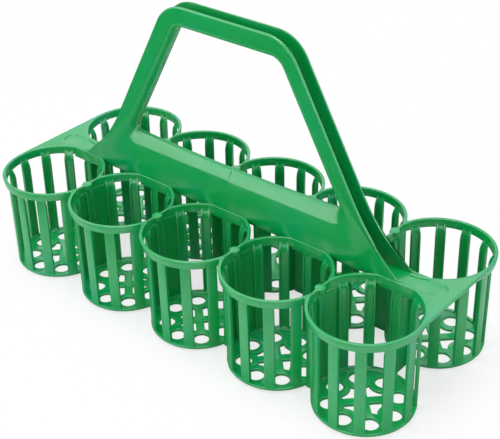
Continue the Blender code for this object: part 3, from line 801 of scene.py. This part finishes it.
def plastic(name, seed):
    """Green plastic: clouded colour, pale edges that are partly wear and partly a painted
    highlight, fine grain and an uneven gloss.
    """
    material = bpy.data.materials.new(name)
    material.use_nodes = True
    tree = material.node_tree
    shader = tree.nodes["Principled BSDF"]
    shader.inputs["IOR"].default_value = 1.5
    shader.inputs["Specular IOR Level"].default_value = 0.95
    place = tree.nodes.new("ShaderNodeTexCoord")
    shift = tree.nodes.new("ShaderNodeMapping")
    shift.inputs["Location"].default_value = (seed * 1.7, seed * 0.9, seed * 0.4)
    tree.links.new(place.outputs["Object"], shift.inputs["Vector"])

    def noise(scale, detail, roughness=0.5):
        node = tree.nodes.new("ShaderNodeTexNoise")
        node.inputs["Scale"].default_value = scale
        node.inputs["Detail"].default_value = detail
        node.inputs["Roughness"].default_value = roughness
        tree.links.new(shift.outputs["Vector"], node.inputs["Vector"])
        return node.outputs["Fac"]

    def bump(height, strength, distance, normal):
        node = tree.nodes.new("ShaderNodeBump")
        node.inputs["Strength"].default_value = strength
        node.inputs["Distance"].default_value = distance
        tree.links.new(height, node.inputs["Height"])
        tree.links.new(normal, node.inputs["Normal"])
        return node.outputs["Normal"]

    # The Bevel node finds the edges, which are painted paler: partly wear, partly a painted
    # highlight. Its rounded normal also softens the shading
    edge = tree.nodes.new("ShaderNodeBevel")
    edge.samples = 4
    edge.inputs["Radius"].default_value = EDGE_BEVEL_RADIUS
    surface = tree.nodes.new("ShaderNodeNewGeometry")
    facing = tree.nodes.new("ShaderNodeVectorMath")
    facing.operation = "DOT_PRODUCT"
    tree.links.new(edge.outputs["Normal"], facing.inputs[0])
    tree.links.new(surface.outputs["Normal"], facing.inputs[1])
    turned = math_node(tree, "SUBTRACT", 1, facing.outputs["Value"])
    sharp = ramp_node(tree, turned, ((0.02, grey(0)), (0.14, grey(1))))
    edge_patchiness = ramp_node(tree, noise(70, 3), ((0.35, grey(0.3)), (0.65, grey(0.75))))
    edge_wear_and_highlight = math_node(tree, "MULTIPLY", sharp, edge_patchiness)

    clouds = ramp_node(tree, noise(16, 3), PLASTIC_CLOUDS)
    # The Mix node's colours are its inputs 6 and 7 and its output 2
    colour = tree.nodes.new("ShaderNodeMix")
    colour.data_type = "RGBA"
    tree.links.new(edge_wear_and_highlight, colour.inputs[0])
    tree.links.new(clouds, colour.inputs[6])
    colour.inputs[7].default_value = EDGE_WEAR_AND_HIGHLIGHT_COLOUR
    tree.links.new(colour.outputs[2], shader.inputs["Base Color"])
    gloss = ramp_node(tree, noise(55, 4), ((0.3, grey(0.17)), (0.7, grey(0.27))))
    tree.links.new(gloss, shader.inputs["Roughness"])
    grain = bump(noise(900, 3, 0.6), 0.05, 0.0004, edge.outputs["Normal"])
    ripple = bump(noise(28, 2), 0.2, 0.0012, grain)
    tree.links.new(ripple, shader.inputs["Normal"])
    return material


def turned_round(piece, name):
    """The same piece on the other side of the carrier, turned by half a turn."""
    twin = bpy.data.objects.new(name, piece.data)
    bpy.context.collection.objects.link(twin)
    twin.location = (-piece.location.x, -piece.location.y, piece.location.z)
    twin.rotation_euler = (0, 0, math.pi)
    return twin


def dress(piece, node, material):
    """Give a piece its finish and put it in place of its node in the frame."""
    if not piece.data.materials:
        piece.data.materials.append(material)
    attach(piece, "root")
    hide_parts(node)


def build_carrier():
    floor = cup_floor()
    floor_mesh = floor.data
    bpy.data.objects.remove(floor)
    cup_finish = [plastic(f"cup_plastic_{index + 1}", index) for index in range(CUPS_PER_ROW)]
    for column in range(CUPS_PER_ROW):
        cup = front_cup(column, floor_mesh)
        opposite = CUPS_PER_ROW - column
        twin = turned_round(cup, f"rear_cup_{opposite}")
        dress(cup, f"cup_front_{column + 1}", cup_finish[column])
        dress(twin, f"cup_rear_{opposite}", cup_finish[column])
    web_finish = plastic("row_web_plastic", 5)
    row_plate = row_web("row_web")
    for column in range(CUPS_PER_ROW):
        piece = bpy.data.objects.new(f"row_plate_{column + 1}", row_plate.data)
        bpy.context.collection.objects.link(piece)
        piece.location = (column_x(column), 0, 0)
        dress(piece, f"row_web_{column + 1}", web_finish)
    bpy.data.objects.remove(row_plate)
    divider_finish = plastic("divider_plastic", 7)
    wall = divider("front_divider_1")
    smooth(wall)
    for gap in range(CUPS_PER_ROW - 1):
        piece = wall if gap == 0 else bpy.data.objects.new(f"front_divider_{gap + 1}", wall.data)
        if gap:
            bpy.context.collection.objects.link(piece)
        piece.location = ((gap + 0.5) * CUP_PITCH - END_CUP_X, -ROW_Y, 0)
        opposite = CUPS_PER_ROW - 1 - gap
        dress(piece, f"divider_front_{gap + 1}", divider_finish)
        dress(turned_round(piece, f"rear_divider_{opposite}"), f"divider_rear_{opposite}",
              divider_finish)
    deck = right_deck()
    deck_finish = plastic("deck_plastic", 9)
    dress(deck, "deck_right", deck_finish)
    dress(turned_round(deck, "left_deck"), "deck_left", deck_finish)
    shell = front_half_shell()
    handle_finish = plastic("handle_plastic", 11)
    dress(shell, "handle_front_shell", handle_finish)
    dress(turned_round(shell, "rear_handle_shell"), "handle_rear_shell", handle_finish)
    web = right_foot_web()
    dress(web, "foot_web_right", handle_finish)
    dress(turned_round(web, "left_foot_web"), "foot_web_left", handle_finish)


# Stage

# The studio's tint in the plastic's reflections
MIRRORED_COLOUR = (0.76, 0.86, 1, 1)
FLOOR_SIZE = 6
FLOOR_HEIGHT = -0.0002
FOOTPRINT = (0.225, 0.105)
REFLECTING_PAD = (0.46, 0.22)


def background_rays(tree):
    """Two outputs: 1 for the camera's rays, and 1 for the rays off and through the object."""
    path = tree.nodes.new("ShaderNodeLightPath")
    bounced = math_node(tree, "MAXIMUM", path.outputs["Is Glossy Ray"],
                        path.outputs["Is Transmission Ray"])
    return path.outputs["Is Camera Ray"], bounced


def mix_node(tree, share, first, second):
    node = tree.nodes.new("ShaderNodeMixShader")
    tree.links.new(share, node.inputs["Fac"])
    tree.links.new(first, node.inputs[1])
    tree.links.new(second, node.inputs[2])
    return node.outputs[0]


def oblong_distance(tree, axes, halves):
    """Distance from the middle: 1 on a rounded oblong of these half widths."""
    powers = []
    for axis, half in zip(axes, halves):
        share = math_node(tree, "DIVIDE", axis, half)
        powers.append(math_node(tree, "POWER", math_node(tree, "ABSOLUTE", share, 0), 4))
    return math_node(tree, "POWER", math_node(tree, "ADD", *powers), 0.25)


def emission_node(tree, colour, strength):
    node = tree.nodes.new("ShaderNodeEmission")
    node.inputs["Color"].default_value = colour
    node.inputs["Strength"].default_value = strength
    return node.outputs[0]


def floor_material():
    """Pale floor that fades to white for the camera. In its reflections it has a painted shadow
    under the carrier and is dim far from it. It keeps the carrier's shadow."""
    material = bpy.data.materials.new("studio_floor")
    material.use_nodes = True
    tree = material.node_tree
    shader = tree.nodes["Principled BSDF"]
    shader.inputs["Base Color"].default_value = (0.9, 0.9, 0.9, 1)
    shader.inputs["Roughness"].default_value = 0.9
    shader.inputs["Specular IOR Level"].default_value = 0
    lit = shader.outputs[0]
    place = tree.nodes.new("ShaderNodeTexCoord")
    split = tree.nodes.new("ShaderNodeSeparateXYZ")
    tree.links.new(place.outputs["Object"], split.inputs[0])
    axes = split.outputs[:2]
    seen, bounced = background_rays(tree)

    # A ramp runs from 0 to 1, so the distances are divided by 6 and by 2 for theirs
    near = math_node(tree, "DIVIDE", oblong_distance(tree, axes, FOOTPRINT), 6)
    plain = ramp_node(tree, near, ((0.9 / 6, grey(0.66)), (1.2 / 6, grey(0.93)), (0.9, grey(1))))
    camera_floor = mix_node(tree, plain, lit, emission_node(tree, (1, 1, 1, 1), 1))

    glow = emission_node(tree, MIRRORED_COLOUR, 1)
    dim = emission_node(tree, MIRRORED_COLOUR, 0.04)
    # Painted shadow: in reflections a dim emission is mixed over the carrier's footprint, so the
    # floor under it looks shaded
    painted_shadow_footprint = ramp_node(tree, near, ((0.95 / 6, grey(1)), (1.25 / 6, grey(0))))
    open_floor = math_node(tree, "SUBTRACT", 1, painted_shadow_footprint)
    shine = mix_node(tree, math_node(tree, "MULTIPLY", open_floor, 0.45), lit, glow)
    with_painted_shadow = mix_node(tree, math_node(tree, "MULTIPLY", painted_shadow_footprint, 0.7), shine, dim)
    pad = math_node(tree, "DIVIDE", oblong_distance(tree, axes, REFLECTING_PAD), 2)
    beyond = ramp_node(tree, pad, ((0.41, grey(0)), (0.55, grey(1))))
    bounced_floor = mix_node(tree, beyond, with_painted_shadow, dim)

    unseen = mix_node(tree, bounced, lit, bounced_floor)
    surface = tree.nodes["Material Output"].inputs["Surface"]
    tree.links.new(mix_node(tree, seen, unseen, camera_floor), surface)
    return material


def studio_floor():
    shape = bmesh.new()
    corners = ((-1, -1), (1, -1), (1, 1), (-1, 1))
    shape.faces.new([shape.verts.new((x * FLOOR_SIZE, y * FLOOR_SIZE, FLOOR_HEIGHT))
                     for x, y in corners])
    floor = to_object("studio_floor", shape)
    floor.data.materials.append(floor_material())


def world():
    """Soft room light, white behind the carrier and a faint tint in its reflections."""
    scene_world = bpy.data.worlds.new("studio")
    bpy.context.scene.world = scene_world
    scene_world.use_nodes = True
    tree = scene_world.node_tree
    room = tree.nodes["Background"]
    room.inputs["Color"].default_value = (0.93, 0.97, 1.0, 1)
    room.inputs["Strength"].default_value = 0.27
    mirrored = tree.nodes.new("ShaderNodeBackground")
    mirrored.inputs["Color"].default_value = MIRRORED_COLOUR
    white = tree.nodes.new("ShaderNodeBackground")
    seen, bounced = background_rays(tree)
    unseen = mix_node(tree, bounced, room.outputs[0], mirrored.outputs[0])
    surface = tree.nodes["World Output"].inputs["Surface"]
    tree.links.new(mix_node(tree, seen, unseen, white.outputs[0]), surface)


LAMP_AIM = Vector((0, 0, 0.08))
LAMP_DISTANCE = 1.9
LAMP_SIZE = 1.1


def softbox(name, around, up, watts):
    """A square softbox aimed at the carrier: degrees round from +X, degrees up, and power."""
    light = bpy.data.lights.new(name, "AREA")
    light.size = LAMP_SIZE
    light.energy = watts
    lamp = bpy.data.objects.new(name, light)
    bpy.context.collection.objects.link(lamp)
    around, up = math.radians(around), math.radians(up)
    way = Vector((math.cos(around) * math.cos(up), math.sin(around) * math.cos(up), math.sin(up)))
    lamp.location = LAMP_AIM + way * LAMP_DISTANCE
    lamp.rotation_euler = (-way).to_track_quat("-Z", "Y").to_euler()


def lights():
    softbox("top_softbox", 200, 86, 24)
    softbox("right_softbox", 30, 26, 10)
    softbox("left_softbox", 205, 40, 6)
    softbox("low_left_softbox", 240, 20, 6)
    softbox("front_softbox", 270, 9, 8)
    softbox("camera_softbox", 310, 18, 3.6)
    softbox("rear_softbox", 131, 31, 2.2)


def camera():
    """The photograph's view, as fitted to the rims and bases that it shows."""
    lens = bpy.data.cameras.new("camera")
    lens.sensor_width = 36
    lens.lens = 86.64
    lens.shift_x = 0.00185
    lens.shift_y = -0.12642
    view = bpy.data.objects.new("camera", lens)
    bpy.context.collection.objects.link(view)
    view.location = (0.594684, -0.677868, 0.639927)
    view.rotation_euler = Euler((1.0667, 0.0218, 0.6934))
    bpy.context.scene.camera = view


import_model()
build_carrier()
studio_floor()
world()
lights()
camera()
bpy.context.scene.view_settings.view_transform = "Standard"
